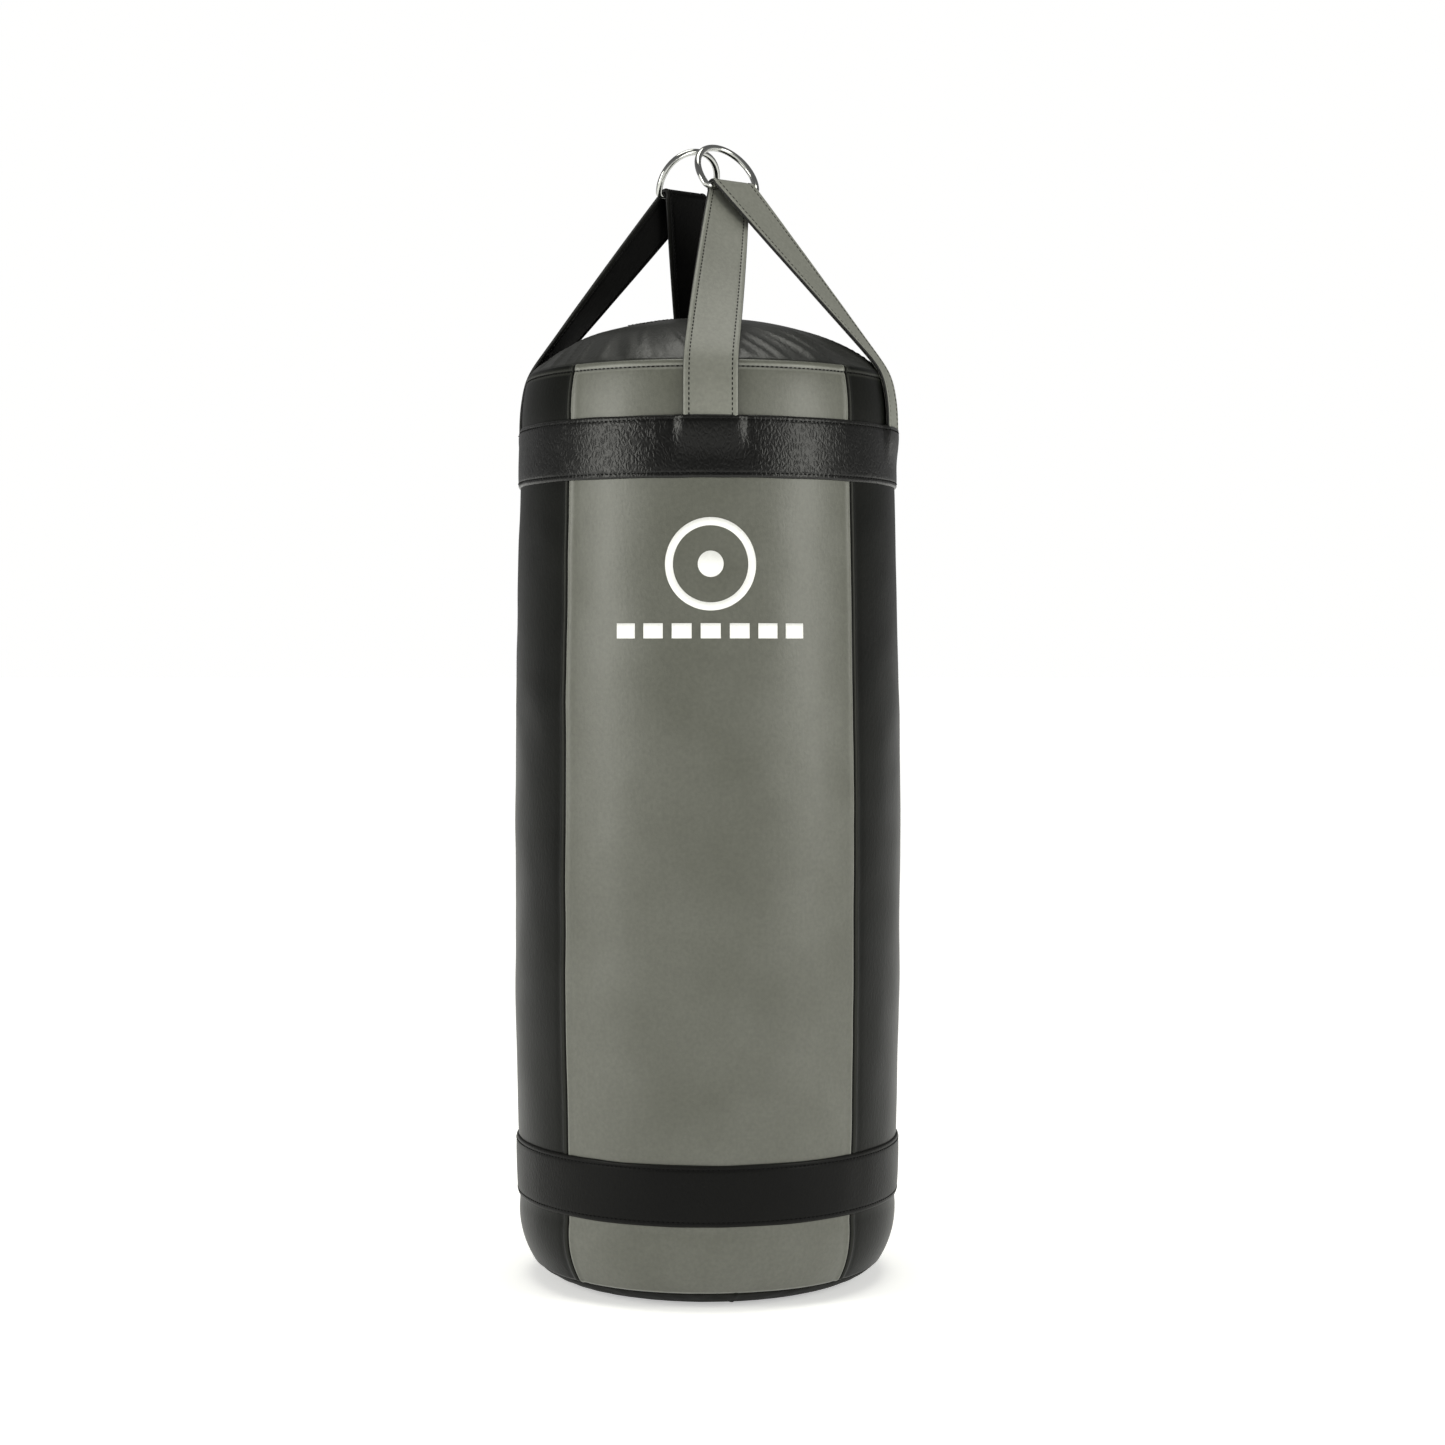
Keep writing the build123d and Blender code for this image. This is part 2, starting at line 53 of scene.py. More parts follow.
# ------------------------------------------------------------------ wall panels
# Four panels of PVC-coated cloth make the wall: grey at the front and back, black at the sides.
# Each is cut flat, hemmed along its top, sewn to its neighbours edge to edge from the inside, and
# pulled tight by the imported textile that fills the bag.
BASE_Z, HIP_Z, NECK_Z, SEAM_Z = 16.0, 80.0, 892.0, 948.0
BELLY_R, NECK_R, SEAM_R = 204.0, 195.5, 189.0
VINYL_T = 1.5
GREY_ARC, BLACK_ARC = 92.0, 88.0
SEAM_GAP = 0.4
HEM_H = 6.4
LEG_TURNS = (0.0, 76.0, 180.0, 256.0)


def circle_through(low, mid, high):
    """Radius as a function of height, on the circle through three points (radius, height)."""
    (x1, y1), (x2, y2), (x3, y3) = low, mid, high
    d = 2 * (x1 * (y2 - y3) + x2 * (y3 - y1) + x3 * (y1 - y2))
    a, b, c = x1 * x1 + y1 * y1, x2 * x2 + y2 * y2, x3 * x3 + y3 * y3
    cx = (a * (y2 - y3) + b * (y3 - y1) + c * (y1 - y2)) / d
    cy = (a * (x3 - x2) + b * (x1 - x3) + c * (x2 - x1)) / d
    size = math.hypot(x1 - cx, y1 - cy)
    return lambda z: cx + math.sqrt(size * size - (z - cy) ** 2)


base_shoulder = circle_through((183.0, BASE_Z), (194.2, 38.0), (199.0, HIP_Z))
barrel = circle_through((199.0, HIP_Z), (BELLY_R, 486.0), (NECK_R, NECK_Z))
top_shoulder = circle_through((NECK_R, NECK_Z), (193.8, 925.0), (SEAM_R, SEAM_Z))


def wall_radius(z):
    part = base_shoulder if z < HIP_Z else barrel if z < NECK_Z else top_shoulder
    return part(z)


def bump(x, middle, spread):
    return math.exp(-(((x - middle) / spread) ** 2))


def ramp(x, low, high):
    t = min(1.0, max(0.0, (x - low) / (high - low)))
    return t * t * (3 - 2 * t)


def bearing(turn, radius=1.0, z=0.0):
    a = math.radians(turn)
    return Vector((radius * math.sin(a), -radius * math.cos(a), z))


def slack(turn, z):
    """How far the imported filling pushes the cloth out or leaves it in, in millimetres."""
    p = bearing(turn, 0.2, z * MM)
    lumps = 1.6 * noise.noise(p * 8.5) + 0.7 * noise.noise(p * 22.0 + Vector((5.0, 1.0, 0.0)))
    if lumps < 0.0:
        lumps = math.tanh(lumps / 0.8) * 0.8
    held = bump(z, 861, 60) + bump(z, 118, 60)
    return lumps * (1.0 - 0.6 * min(1.0, held)) - 0.5 * ramp(z, 935, 948)


def on_wall(turn, z, out=0.0):
    """A place on the stuffed wall, in metres, from a bearing and a height and lift in millimetres."""
    slope = wall_radius(z + 0.5) - wall_radius(z - 0.5)
    size = math.hypot(1.0, slope)
    radius = wall_radius(z) + slack(turn, z) + out / size
    return bearing(turn, radius, z - out * slope / size) * MM


def cut_cloth(width, height, across, down, thick, crowd=0.75):
    """A flat piece of cloth round (0, 0), its threads' rows crowded at the edges, top face at z 0."""
    bm = bmesh.new()
    flat = bm.loops.layers.uv.new("UVMap")
    bmesh.ops.create_grid(bm, x_segments=across, y_segments=down, size=1.0)
    for v in bm.verts:
        for axis, half in ((0, width / 2), (1, height / 2)):
            u = v.co[axis]
            v.co[axis] = half * ((1 - crowd) * u + crowd * math.sin(u * math.pi / 2))
    if thick:
        bmesh.ops.solidify(bm, geom=bm.faces[:], thickness=thick)
        top = max(v.co.z for v in bm.verts)
        for v in bm.verts:
            v.co.z -= top
    for face in bm.faces:
        for loop in face.loops:
            loop[flat].uv = (loop.vert.co.x * MM, loop.vert.co.y * MM)
    return bm


def wrap(bm, place):
    for v in bm.verts:
        v.co = place(*v.co)


def make_piece(name, bm, material, slot, smooth=True):
    """Turns a finished bmesh into an object with one material, its faces pointing outwards."""
    bmesh.ops.recalc_face_normals(bm, faces=bm.faces[:])
    mesh = bpy.data.meshes.new(name)
    bm.to_mesh(mesh)
    bm.free()
    mesh.materials.append(material)
    for face in mesh.polygons:
        face.use_smooth = smooth
    piece = bpy.data.objects.new(name, mesh)
    bpy.context.scene.collection.objects.link(piece)
    return piece


def add(tree, kind, wires=None, **settings):
    """A node with its settings, and its sockets set to a value or wired to another socket."""
    made = tree.nodes.new(kind)
    for key, value in settings.items():
        setattr(made, key, value)
    for socket, source in (wires or {}).items():
        if isinstance(source, bpy.types.NodeSocket):
            tree.links.new(source, made.inputs[socket])
        else:
            made.inputs[socket].default_value = source
    return made


def paint(code):
    """A linear colour from an sRGB hex code."""
    parts = [int(code[i : i + 2], 16) / 255 for i in (1, 3, 5)]
    return tuple(p / 12.92 if p <= 0.04045 else ((p + 0.055) / 1.055) ** 2.4 for p in parts) + (1.0,)


def start_material(name, colour, roughness, **sockets):
    material = bpy.data.materials.new(name)
    material.use_nodes = True
    tree = material.node_tree
    shader = tree.nodes["Principled BSDF"]
    shader.inputs["Base Color"].default_value = paint(colour)
    shader.inputs["Roughness"].default_value = roughness
    for socket, value in sockets.items():
        shader.inputs[socket.replace("_", " ")].default_value = value
    return material, tree, shader


def coated_vinyl(name, dark, light, roughness, pebble, crease, crease_depth, lip_highlight="#8a8b84", groove_shade=0.3, shine=0.5):
    """PVC-coated cloth: an embossed leather grain, soft creases, and an even half-gloss coat.

    pebble and crease are the sizes of the grain's cells and of the creases, in millimetres. Near an edge
    the cloth turns into its seam: painted shade darkens the fold and a painted highlight pales the lip. The
    colour after the crease depth is that highlight's, and the number after it how far the shade darkens.
    """
    material, tree, shader = start_material(name, light, roughness, IOR=1.52, Specular_IOR_Level=shine)
    spot = add(tree, "ShaderNodeTexCoord").outputs
    broad = add(tree, "ShaderNodeTexNoise", {"Vector": spot["Object"], "Scale": 11.0, "Detail": 4.0})
    fine = add(tree, "ShaderNodeTexNoise", {"Vector": spot["Object"], "Scale": 260.0, "Detail": 3.0})
    tone = add(tree, "ShaderNodeMapRange", {"Value": broad.outputs["Fac"], "From Min": 0.3, "From Max": 0.7})
    colour = add(
        tree,
        "ShaderNodeMix",
        {"Factor": tone.outputs["Result"], "A": paint(dark), "B": paint(light)},
        data_type="RGBA",
    )
    speck = add(
        tree,
        "ShaderNodeMapRange",
        {"Value": fine.outputs["Fac"], "From Min": 0.3, "From Max": 0.7, "To Min": 0.9, "To Max": 1.08},
    )
    edge = add(tree, "ShaderNodeAttribute", attribute_name="edge").outputs["Fac"]
    # Painted highlight: a few millimetres in from each sewn edge the colour is mixed towards a pale one, lighting the
    # rolled lip.
    lip = add(
        tree,
        "ShaderNodeMapRange",
        {"Value": edge, "From Min": 2.4, "From Max": 4.5, "To Min": 0.45, "To Max": 0.0},
        interpolation_type="SMOOTHSTEP",
    )
    lip_highlighted = add(
        tree,
        "ShaderNodeMix",
        {"Factor": lip.outputs["Result"], "A": colour.outputs["Result"], "B": paint(lip_highlight)},
        data_type="RGBA",
    )
    # Painted shade: within about two millimetres of a sewn edge the colour is darkened, the seam's fold in shadow.
    fold = add(
        tree,
        "ShaderNodeMapRange",
        {"Value": edge, "From Min": 0.5, "From Max": 1.9, "To Min": groove_shade, "To Max": 1.0},
        interpolation_type="SMOOTHSTEP",
    )
    depth = add(
        tree, "ShaderNodeMath", {0: fold.outputs["Result"], 1: speck.outputs["Result"]}, operation="MULTIPLY"
    )
    shade = add(
        tree,
        "ShaderNodeVectorMath",
        {0: lip_highlighted.outputs["Result"], 1: depth.outputs["Value"]},
        operation="MULTIPLY",
    )
    tree.links.new(shade.outputs["Vector"], shader.inputs["Base Color"])
    gloss = add(
        tree,
        "ShaderNodeMapRange",
        {"Value": broad.outputs["Fac"], "To Min": roughness - 0.06, "To Max": roughness + 0.08},
    )
    tree.links.new(gloss.outputs["Result"], shader.inputs["Roughness"])
    bend = add(tree, "ShaderNodeTexNoise", {"Vector": spot["Object"], "Scale": 60.0, "Detail": 2.0})
    drift = add(
        tree,
        "ShaderNodeVectorMath",
        {0: bend.outputs["Color"], 1: (0.012, 0.012, 0.012)},
        operation="MULTIPLY",
    )
    bent = add(
        tree, "ShaderNodeVectorMath", {0: spot["Object"], 1: drift.outputs["Vector"]}, operation="ADD"
    )
    slant = add(
        tree,
        "ShaderNodeMapping",
        {"Vector": bent.outputs["Vector"], "Rotation": (0.0, 0.85, 0.0), "Scale": (1.0, 1.0, 0.5)},
    )
    cells = add(
        tree,
        "ShaderNodeTexVoronoi",
        {"Vector": spot["Object"], "Scale": 1000.0 / pebble},
        feature="SMOOTH_F1",
    )
    folds = add(
        tree,
        "ShaderNodeTexVoronoi",
        {"Vector": slant.outputs["Vector"], "Scale": 1000.0 / crease},
        feature="DISTANCE_TO_EDGE",
    )
    soft = add(
        tree,
        "ShaderNodeMapRange",
        {"Value": folds.outputs["Distance"], "From Max": 0.35},
        interpolation_type="SMOOTHSTEP",
    )
    grain = add(
        tree,
        "ShaderNodeBump",
        {"Height": cells.outputs["Distance"], "Strength": 0.5, "Distance": 0.12 * MM},
        invert=True,
    )
    creased = add(
        tree,
        "ShaderNodeBump",
        {
            "Height": soft.outputs["Result"],
            "Strength": 0.8,
            "Distance": crease_depth * MM,
            "Normal": grain.outputs["Normal"],
        },
    )
    tree.links.new(creased.outputs["Normal"], shader.inputs["Normal"])
    return material


# Grey coat, embossed fine and only half glossy, so that the studio's boxes show as broad soft bands.
grey_vinyl = coated_vinyl("grey_pvc_coated_cloth", "#53544b", "#5e5f57", 0.4, 1.5, 6.0, 0.05)
# Black coat of the same cloth; a painted highlight shows its lips as thin grey lines.
black_vinyl = coated_vinyl(
    "black_pvc_coated_cloth", "#090a08", "#10110e", 0.36, 1.5, 6.0, 0.06, "#383934", shine=0.1
)


def mark_edges(bm, distance):
    """Stores each point's distance from the nearest sewn edge, in millimetres, for the coat's painted seam shade and
    painted lip highlight.
    """
    layer = bm.verts.layers.float.new("edge")
    for v in bm.verts:
        v[layer] = distance(v.co.x, v.co.y)


def wall_panel(name, node, turn, arc, across, material, slot):
    low, high = BASE_Z, SEAM_Z
    width = math.radians(arc) * BELLY_R - SEAM_GAP
    bm = cut_cloth(width, high - low, across, 230, VINYL_T)
    hem_line = (high - low) / 2 - HEM_H - 0.9
    # The side seams, the foot and the hem's fold line get the coat's painted shade and painted lip highlight.
    mark_edges(
        bm, lambda x, y: min(width / 2 - abs(x), (high - low) / 2 + y + 1.0, abs(y - hem_line) + 0.5)
    )
    degrees = math.degrees(1 / BELLY_R)

    def place(x, y, z):
        side = width / 2 - abs(x)
        below = (high - low) / 2 - y
        above = (high - low) / 2 + y
        relief = 0.55 * bump(side, 3.6, 1.9) - 1.3 * bump(side, 0, 1.2) - 0.35 * bump(side, 9, 4)
        hem = 1.1 * math.sqrt(max(0.0, 1 - ((below - HEM_H / 2) / (HEM_H / 2 + 0.4)) ** 2))
        relief += hem - 0.8 * bump(below, HEM_H + 0.9, 0.9) - 0.9 * bump(below, 0, 0.8)
        relief -= 1.2 * bump(above, 0, 1.3)
        return on_wall(turn + x * degrees, y + (high + low) / 2, z + relief)

    wrap(bm, place)
    panel = make_piece(name, bm, material, slot)
    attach(panel, "bag")
    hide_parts(node)
    return panel


wall_panel("front_wall_panel", "front_panel", 0, GREY_ARC, 84, grey_vinyl, "grey_vinyl")
wall_panel("back_wall_panel", "back_panel", 180, GREY_ARC, 84, grey_vinyl, "grey_vinyl")
wall_panel("right_wall_panel", "right_panel", 90, BLACK_ARC, 80, black_vinyl, "black_vinyl")
wall_panel("left_wall_panel", "left_panel", 270, BLACK_ARC, 80, black_vinyl, "black_vinyl")

# ------------------------------------------------------------------ sewn-on bands
# Two belts of heavier black leathercloth go round the bag over the panels. Their long edges are
# folded under and sewn down; the upper belt covers the ends of the straps and rises over them.
BAND_H, BAND_T = 62.0, 1.9
UPPER_BAND_Z, LOWER_BAND_Z = 861.0, 118.0
BAND_STITCH_IN = 4.6
STRAP_W, STRAP_T = 54.0, 4.0
STRAP_TUCK_Z = 845.0

# Leathercloth with a coarse glazed grain that wrinkles where it is stretched round the bag; the lower
# belt is cut from a duller piece with a finer grain.
glazed_hide = coated_vinyl(
    "black_grained_leathercloth", "#050504", "#090908", 0.29, 1.8, 3.6, 0.2, "#1a1a18", 0.8, shine=0.26
)
dull_hide = coated_vinyl(
    "black_dull_leathercloth", "#070707", "#0c0c0b", 0.4, 1.8, 4.0, 0.1, "#1a1a18", 0.8, shine=0.1
)


def strap_under(turn, z):
    """How far the strap ends lift the upper belt, in millimetres."""
    lift = 0.0
    for leg in LEG_TURNS:
        away = abs((turn - leg + 180) % 360 - 180) * math.radians(1) * NECK_R
        if away < 70:
            over = ramp(STRAP_W / 2 + 12 - away, 0, 14) * ramp(z, STRAP_TUCK_Z + 2, NECK_Z - 2)
            pulled = ramp(z, 858, NECK_Z)
            ripple = 0.45 * bump(away, STRAP_W / 2 + 15, 4) - 0.35 * bump(away, STRAP_W / 2 + 9, 3)
            ripple += 0.3 * bump(away, STRAP_W / 2 + 26, 5)
            lift = max(lift, (STRAP_T + 0.4) * over) + pulled * ripple
    return lift


def band(name, node, middle, over_straps, hide):
    around = 2 * math.pi * BELLY_R
    bm = cut_cloth(around, BAND_H, 432, 34, BAND_T, crowd=0.0)
    crowd = 0.55
    for v in bm.verts:
        u = 2 * v.co.y / BAND_H
        v.co.y = BAND_H / 2 * ((1 - crowd) * u + crowd * math.sin(u * math.pi / 2))
    # Both long edges get the coat's painted shade in the fold and painted highlight on the lip.
    mark_edges(bm, lambda x, y: BAND_H / 2 - abs(y) + 1.2)
    ends = [f for f in bm.faces if all(abs(abs(v.co.x) - around / 2) < 0.01 for v in f.verts)]
    bmesh.ops.delete(bm, geom=ends, context="FACES_ONLY")

    def place(x, y, z):
        turn = 150 + 360 * x / around
        side = BAND_H / 2 - abs(y)
        wave = noise.noise(Vector((math.sin(math.radians(turn)) * 6, math.cos(math.radians(turn)) * 6, y * 0.02)))
        relief = 0.7 * (1 - abs(2 * y / BAND_H) ** 4) - 0.9 * bump(side, 0, 0.9)
        relief -= 0.55 * bump(side, BAND_STITCH_IN, 0.9)
        relief += 0.35 * wave + (strap_under(turn, middle + y) if over_straps else 0.0)
        return on_wall(turn, middle + y + 0.5 * wave * abs(2 * y / BAND_H), z + 0.1 + BAND_T + relief)

    wrap(bm, place)
    bmesh.ops.remove_doubles(bm, verts=bm.verts[:], dist=0.00002)
    belt = make_piece(name, bm, hide, "grained_vinyl")
    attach(belt, "bag")
    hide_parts(node)
    return belt


band("upper_belt", "upper_band", UPPER_BAND_Z, True, glazed_hide)
band("lower_belt", "lower_band", LOWER_BAND_Z, False, dull_hide)

# ------------------------------------------------------------------ stitching on the wall and bands
# Bonded black polyester thread, size 69, in a lockstitch of about five to the inch: each stitch
# shows as a short plump bar that dips into the cloth at both ends.
STITCH_PITCH, STITCH_LEN, THREAD_R = 5.0, 3.5, 0.7

thread, tree, shader = start_material("bonded_black_thread", "#050505", 0.7, IOR=1.53, Specular_IOR_Level=0.1)
spot = add(tree, "ShaderNodeTexCoord").outputs["Object"]
twist = add(tree, "ShaderNodeTexNoise", {"Vector": spot, "Scale": 900.0, "Detail": 2.0})
tint = add(
    tree,
    "ShaderNodeMix",
    {"Factor": twist.outputs["Fac"], "A": paint("#030303"), "B": paint("#0c0c0b")},
    data_type="RGBA",
)
tree.links.new(tint.outputs["Result"], shader.inputs["Base Color"])
ply = add(tree, "ShaderNodeBump", {"Height": twist.outputs["Fac"], "Strength": 0.4, "Distance": 0.1 * MM})
tree.links.new(ply.outputs["Normal"], shader.inputs["Normal"])


def sew(name, stitches):
    """One piece of thread from a list of stitches: middle, direction of the seam, way out."""
    ball = bpy.data.meshes.new("stitch")
    bm = bmesh.new()
    bmesh.ops.create_uvsphere(bm, u_segments=6, v_segments=4, radius=1.0)
    bm.to_mesh(ball)
    bm.clear()
    for middle, along, out in stitches:
        along, out = along.normalized(), out.normalized()
        side = out.cross(along).normalized()
        shape = Matrix.Identity(4)
        for column, (axis, size) in enumerate(((side, THREAD_R), (out, THREAD_R * 0.8), (along, STITCH_LEN / 2))):
            for row in range(3):
                shape[row][column] = axis[row] * size * MM
        shape.translation = middle
        ball.transform(shape)
        bm.from_mesh(ball)
        ball.transform(shape.inverted())
    bpy.data.meshes.remove(ball)
    return make_piece(name, bm, thread, "woven_tape")


def round_the_wall(z, lift, first=0.0, last=360.0, over_straps=False):
    count = int(math.radians(last - first) * wall_radius(z) / STITCH_PITCH)
    row = []
    for i in range(count):
        turn = first + (last - first) * (i + 0.5) / count
        rise = lift + (strap_under(turn, z) if over_straps else 0.0)
        middle = on_wall(turn, z, rise)
        row.append((middle, on_wall(turn + 0.5, z, rise) - middle, bearing(turn)))
    return row


edge = BAND_H / 2 - BAND_STITCH_IN
for name, z, over in (("upper_belt", UPPER_BAND_Z, True), ("lower_belt", LOWER_BAND_Z, False)):
    rows = round_the_wall(z + edge, BAND_T + 0.35, over_straps=over)
    rows += round_the_wall(z - edge, BAND_T + 0.35, over_straps=over)
    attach(sew(f"{name}_stitching", rows), "bag")
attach(sew("wall_hem_stitching", round_the_wall(SEAM_Z - HEM_H - 0.9, -0.15)), "bag")

# ------------------------------------------------------------------ hanging straps
# Two straps, grey and black, each a run of 2 mm nylon webbing between two faces of coated cloth
# with rolled hems. A strap is sewn to the wall under the upper belt at both ends, and its middle is
# folded flat over the straight bar of its D-ring, the first leg inside the bar and the second outside.
STRAP_SPREAD = 76.0
STRAP_HEM = 5.6
BAR_OUT, BAR_Z, FOLD_R = 40.5, 1142.0, 5.7
STRAP_FOOT_R = SEAM_R + 2.1
STRAP_STEP = 2.0

grey_strap_vinyl = coated_vinyl("grey_strap_cloth", "#6f7068", "#797a72", 0.5, 1.3, 5.0, 0.06, "#85867f", 0.8)
black_strap_vinyl = coated_vinyl(
    "black_strap_cloth", "#020202", "#050504", 0.5, 1.3, 5.0, 0.06, "#2a2a27", 0.8, shine=0.06
)

# Black nylon webbing in a tight plain weave, seen only on edge between the two faces.
webbing, tree, shader = start_material("black_nylon_webbing", "#0c0c0c", 0.72, IOR=1.53)
flat = add(tree, "ShaderNodeUVMap", uv_map="UVMap").outputs["UV"]
warp = add(tree, "ShaderNodeTexWave", {"Vector": flat, "Scale": 500.0, "Distortion": 1.0})
weft = add(tree, "ShaderNodeTexWave", {"Vector": flat, "Scale": 500.0}, bands_direction="Y")
weave = add(
    tree, "ShaderNodeMath", {0: warp.outputs["Fac"], 1: weft.outputs["Fac"]}, operation="MULTIPLY"
)
ribs = add(
    tree,
    "ShaderNodeMix",
    {"Factor": weave.outputs["Value"], "A": paint("#060606"), "B": paint("#1c1c1b")},
    data_type="RGBA",
)
tree.links.new(ribs.outputs["Result"], shader.inputs["Base Color"])
ridge = add(tree, "ShaderNodeBump", {"Height": weave.outputs["Value"], "Strength": 0.7, "Distance": 0.3 * MM})
tree.links.new(ridge.outputs["Normal"], shader.inputs["Normal"])


class StrapRun:
    """The middle line of one strap from end to end, with its direction across and its face's way out."""

    def __init__(self, first):
        out = bearing(first + STRAP_SPREAD / 2)
        self.along = bearing(first + STRAP_SPREAD / 2 + 90)
        seam_out = STRAP_FOOT_R * math.cos(math.radians(STRAP_SPREAD / 2))
        lean = math.atan2(seam_out - BAR_OUT, BAR_Z - SEAM_Z)
        self.normal = out * math.cos(lean) + Vector((0, 0, math.sin(lean)))
        self.up = Vector((0, 0, math.cos(lean))) - out * math.sin(lean)
        self.bar = out * BAR_OUT + Vector((0, 0, BAR_Z))
        self.hinge = out * seam_out + Vector((0, 0, SEAM_Z))
        rising = self.leg(first, -1)
        over = []
        for i in range(1, 20):
            a = math.pi * i / 20
            ray = self.up * math.sin(a) - self.normal * math.cos(a)
            over.append((self.bar + ray * FOLD_R, self.along, ray))
        falling = self.leg(first + STRAP_SPREAD, 1)[::-1]
        self.stations = self.relaxed(rising + over + falling)
        self.marks = [0.0]
        for (a, _, _), (b, _, _) in zip(self.stations, self.stations[1:]):
            self.marks.append(self.marks[-1] + (b - a).length)
        self.length = self.marks[-1]

    def leg(self, turn, lap):
        run = []
        steps = int((SEAM_Z - STRAP_TUCK_Z) / STRAP_STEP)
        for i in range(steps):
            z = STRAP_TUCK_Z + (SEAM_Z - STRAP_TUCK_Z) * i / steps
            rise = 0.2 + STRAP_T / 2 + 0.9 * ramp(z, 925, 944) - 4.4 * ramp(NECK_Z - 2 - z, 0, 43)
            run.append((on_wall(turn, z, rise) / MM, bearing(turn + 90), bearing(turn) * lap))
        foot, top = bearing(turn, STRAP_FOOT_R + 0.9, SEAM_Z), self.bar + self.normal * (lap * FOLD_R)
        steps = int((top - foot).length / STRAP_STEP)
        for i in range(steps + 1):
            share = i / steps
            side = bearing(turn + 90).lerp(self.along, share).normalized()
            down = (foot - top).normalized()
            face = side.cross(down).normalized()
            face = face if face.dot(self.normal) > 0 else -face
            run.append((foot.lerp(top, share), side, face * lap))
        return run

    def relaxed(self, run):
        """Webbing bends in a round curve where it leaves the wall, not at a crease."""
        for _ in range(90):
            new = list(run)
            for i in range(1, len(run) - 1):
                near = abs(run[i][0].z - SEAM_Z) < 26
                rate = 0.5 if near else 0.12 if abs(run[i][0].z - BAR_Z) > 9 else 0.0
                if rate:
                    new[i] = tuple(run[i][k].lerp((run[i - 1][k] + run[i + 1][k]) / 2, rate) for k in range(3))
            run = new
        return [(c, s.normalized(), n.normalized()) for c, s, n in run]

    def at(self, distance):
        s = min(max(distance, 0.0), self.length)
        low, high = 0, len(self.marks) - 1
        while high - low > 1:
            middle = (low + high) // 2
            low, high = (middle, high) if self.marks[middle] <= s else (low, middle)
        share = (s - self.marks[low]) / max(self.marks[high] - self.marks[low], 1e-9)
        return [self.stations[low][k].lerp(self.stations[high][k], share) for k in range(3)]

    def place(self, x, y, z):
        middle, side, out = self.at(y + self.length / 2)
        return (middle + side * x + out * z) * MM


def strap_relief(x, y, length):
    """The rolled hem along each edge of a strap's face, its stitch line, and a slight wave."""
    edge = STRAP_W / 2 - abs(x)
    hem = 0.55 * bump(edge, 2.6, 1.9) - 0.55 * bump(edge, 0, 0.9) - 0.4 * bump(edge, STRAP_HEM, 0.8)
    return hem + 0.25 * noise.noise(Vector((x * 0.03, y * 0.02, length)))


def strap(colour, first, ends, material):
    run = StrapRun(first)
    start, end = run.hinge * MM, (run.hinge + run.up * 62) * MM
    rows = int(run.length / STRAP_STEP)
    layers = (
        ("face", 1.3, 2.0, material, f"{colour}_strap_vinyl", 1),
        ("webbing", -1.3, 1.3, webbing, "black_webbing", 0),
        ("backing", -2.0, -1.3, material, f"{colour}_strap_vinyl", -1),
    )
    for layer, low, high, cloth, slot, way in layers:
        width = STRAP_W + (0 if way else 0.9)
        bm = cut_cloth(width, run.length, 26, rows, high - low, crowd=0.0)
        for v in bm.verts:
            u = 2 * v.co.x / width
            v.co.x = width / 2 * (0.45 * u + 0.55 * math.sin(u * math.pi / 2))
        # Both long edges get the painted shade and painted lip highlight of the strap's coat.
        mark_edges(bm, lambda x, y: width / 2 - abs(x) + 1.4)
        skin = high if way > 0 else low
        for v in bm.verts:
            level = v.co.z + high
            if way and abs(level - skin) < 0.01:
                level += way * strap_relief(v.co.x, v.co.y, run.length)
            v.co = run.place(v.co.x, v.co.y, level)
        piece = make_piece(f"{colour}_strap_{layer}_layer", bm, cloth, slot)
        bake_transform(piece)
        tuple(start)
        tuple(end)
    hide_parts(f"{colour}_strap_face", ends[1])
    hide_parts(f"{colour}_strap_webbing")
    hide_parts(f"{colour}_strap_backing", ends[0])
    stitches = []
    count = int((run.length - 90) / STITCH_PITCH)
    for i in range(count):
        y = (i + 0.5) / count * (run.length - 90) - (run.length - 90) / 2
        for x in (STRAP_HEM - STRAP_W / 2, STRAP_W / 2 - STRAP_HEM):
            ahead = run.place(x, y + 1, 0) - run.place(x, y, 0)
            out = run.at(y + run.length / 2)[2]
            for way in (1, -1):
                stitches.append((run.place(x, y, way * 1.85), ahead, out * way))
    seam = sew(f"{colour}_strap_stitching", stitches)
    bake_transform(seam)
    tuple(start)
    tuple(end)
    return run


strap("grey", 0.0, ("front_strap_end", "right_strap_end"), grey_strap_vinyl)
strap("black", 180.0, ("back_strap_end", "left_strap_end"), black_strap_vinyl)

# ------------------------------------------------------------------ D-rings
# Each ring is 6.8 mm round steel wire bent to a bow with a straight bar, its ends butt-welded, then
# barrel-polished and plated with bright chromium, which is nearly a mirror with faint drawing marks.
chrome, tree, shader = start_material("bright_chromium_plate", "#b4b5b2", 0.08, Metallic=1.0)
spot = add(tree, "ShaderNodeTexCoord").outputs["Object"]
draw = add(tree, "ShaderNodeTexNoise", {"Vector": spot, "Scale": 420.0, "Detail": 3.0})
haze = add(tree, "ShaderNodeMapRange", {"Value": draw.outputs["Fac"], "To Min": 0.05, "To Max": 0.16})
tree.links.new(haze.outputs["Result"], shader.inputs["Roughness"])


def clad(node, material):
    """Gives a CAD node a better material."""
    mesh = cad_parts[node].data
    mesh.materials.clear()
    mesh.materials.append(material)


clad("grey_ring", chrome)
clad("black_ring", chrome)

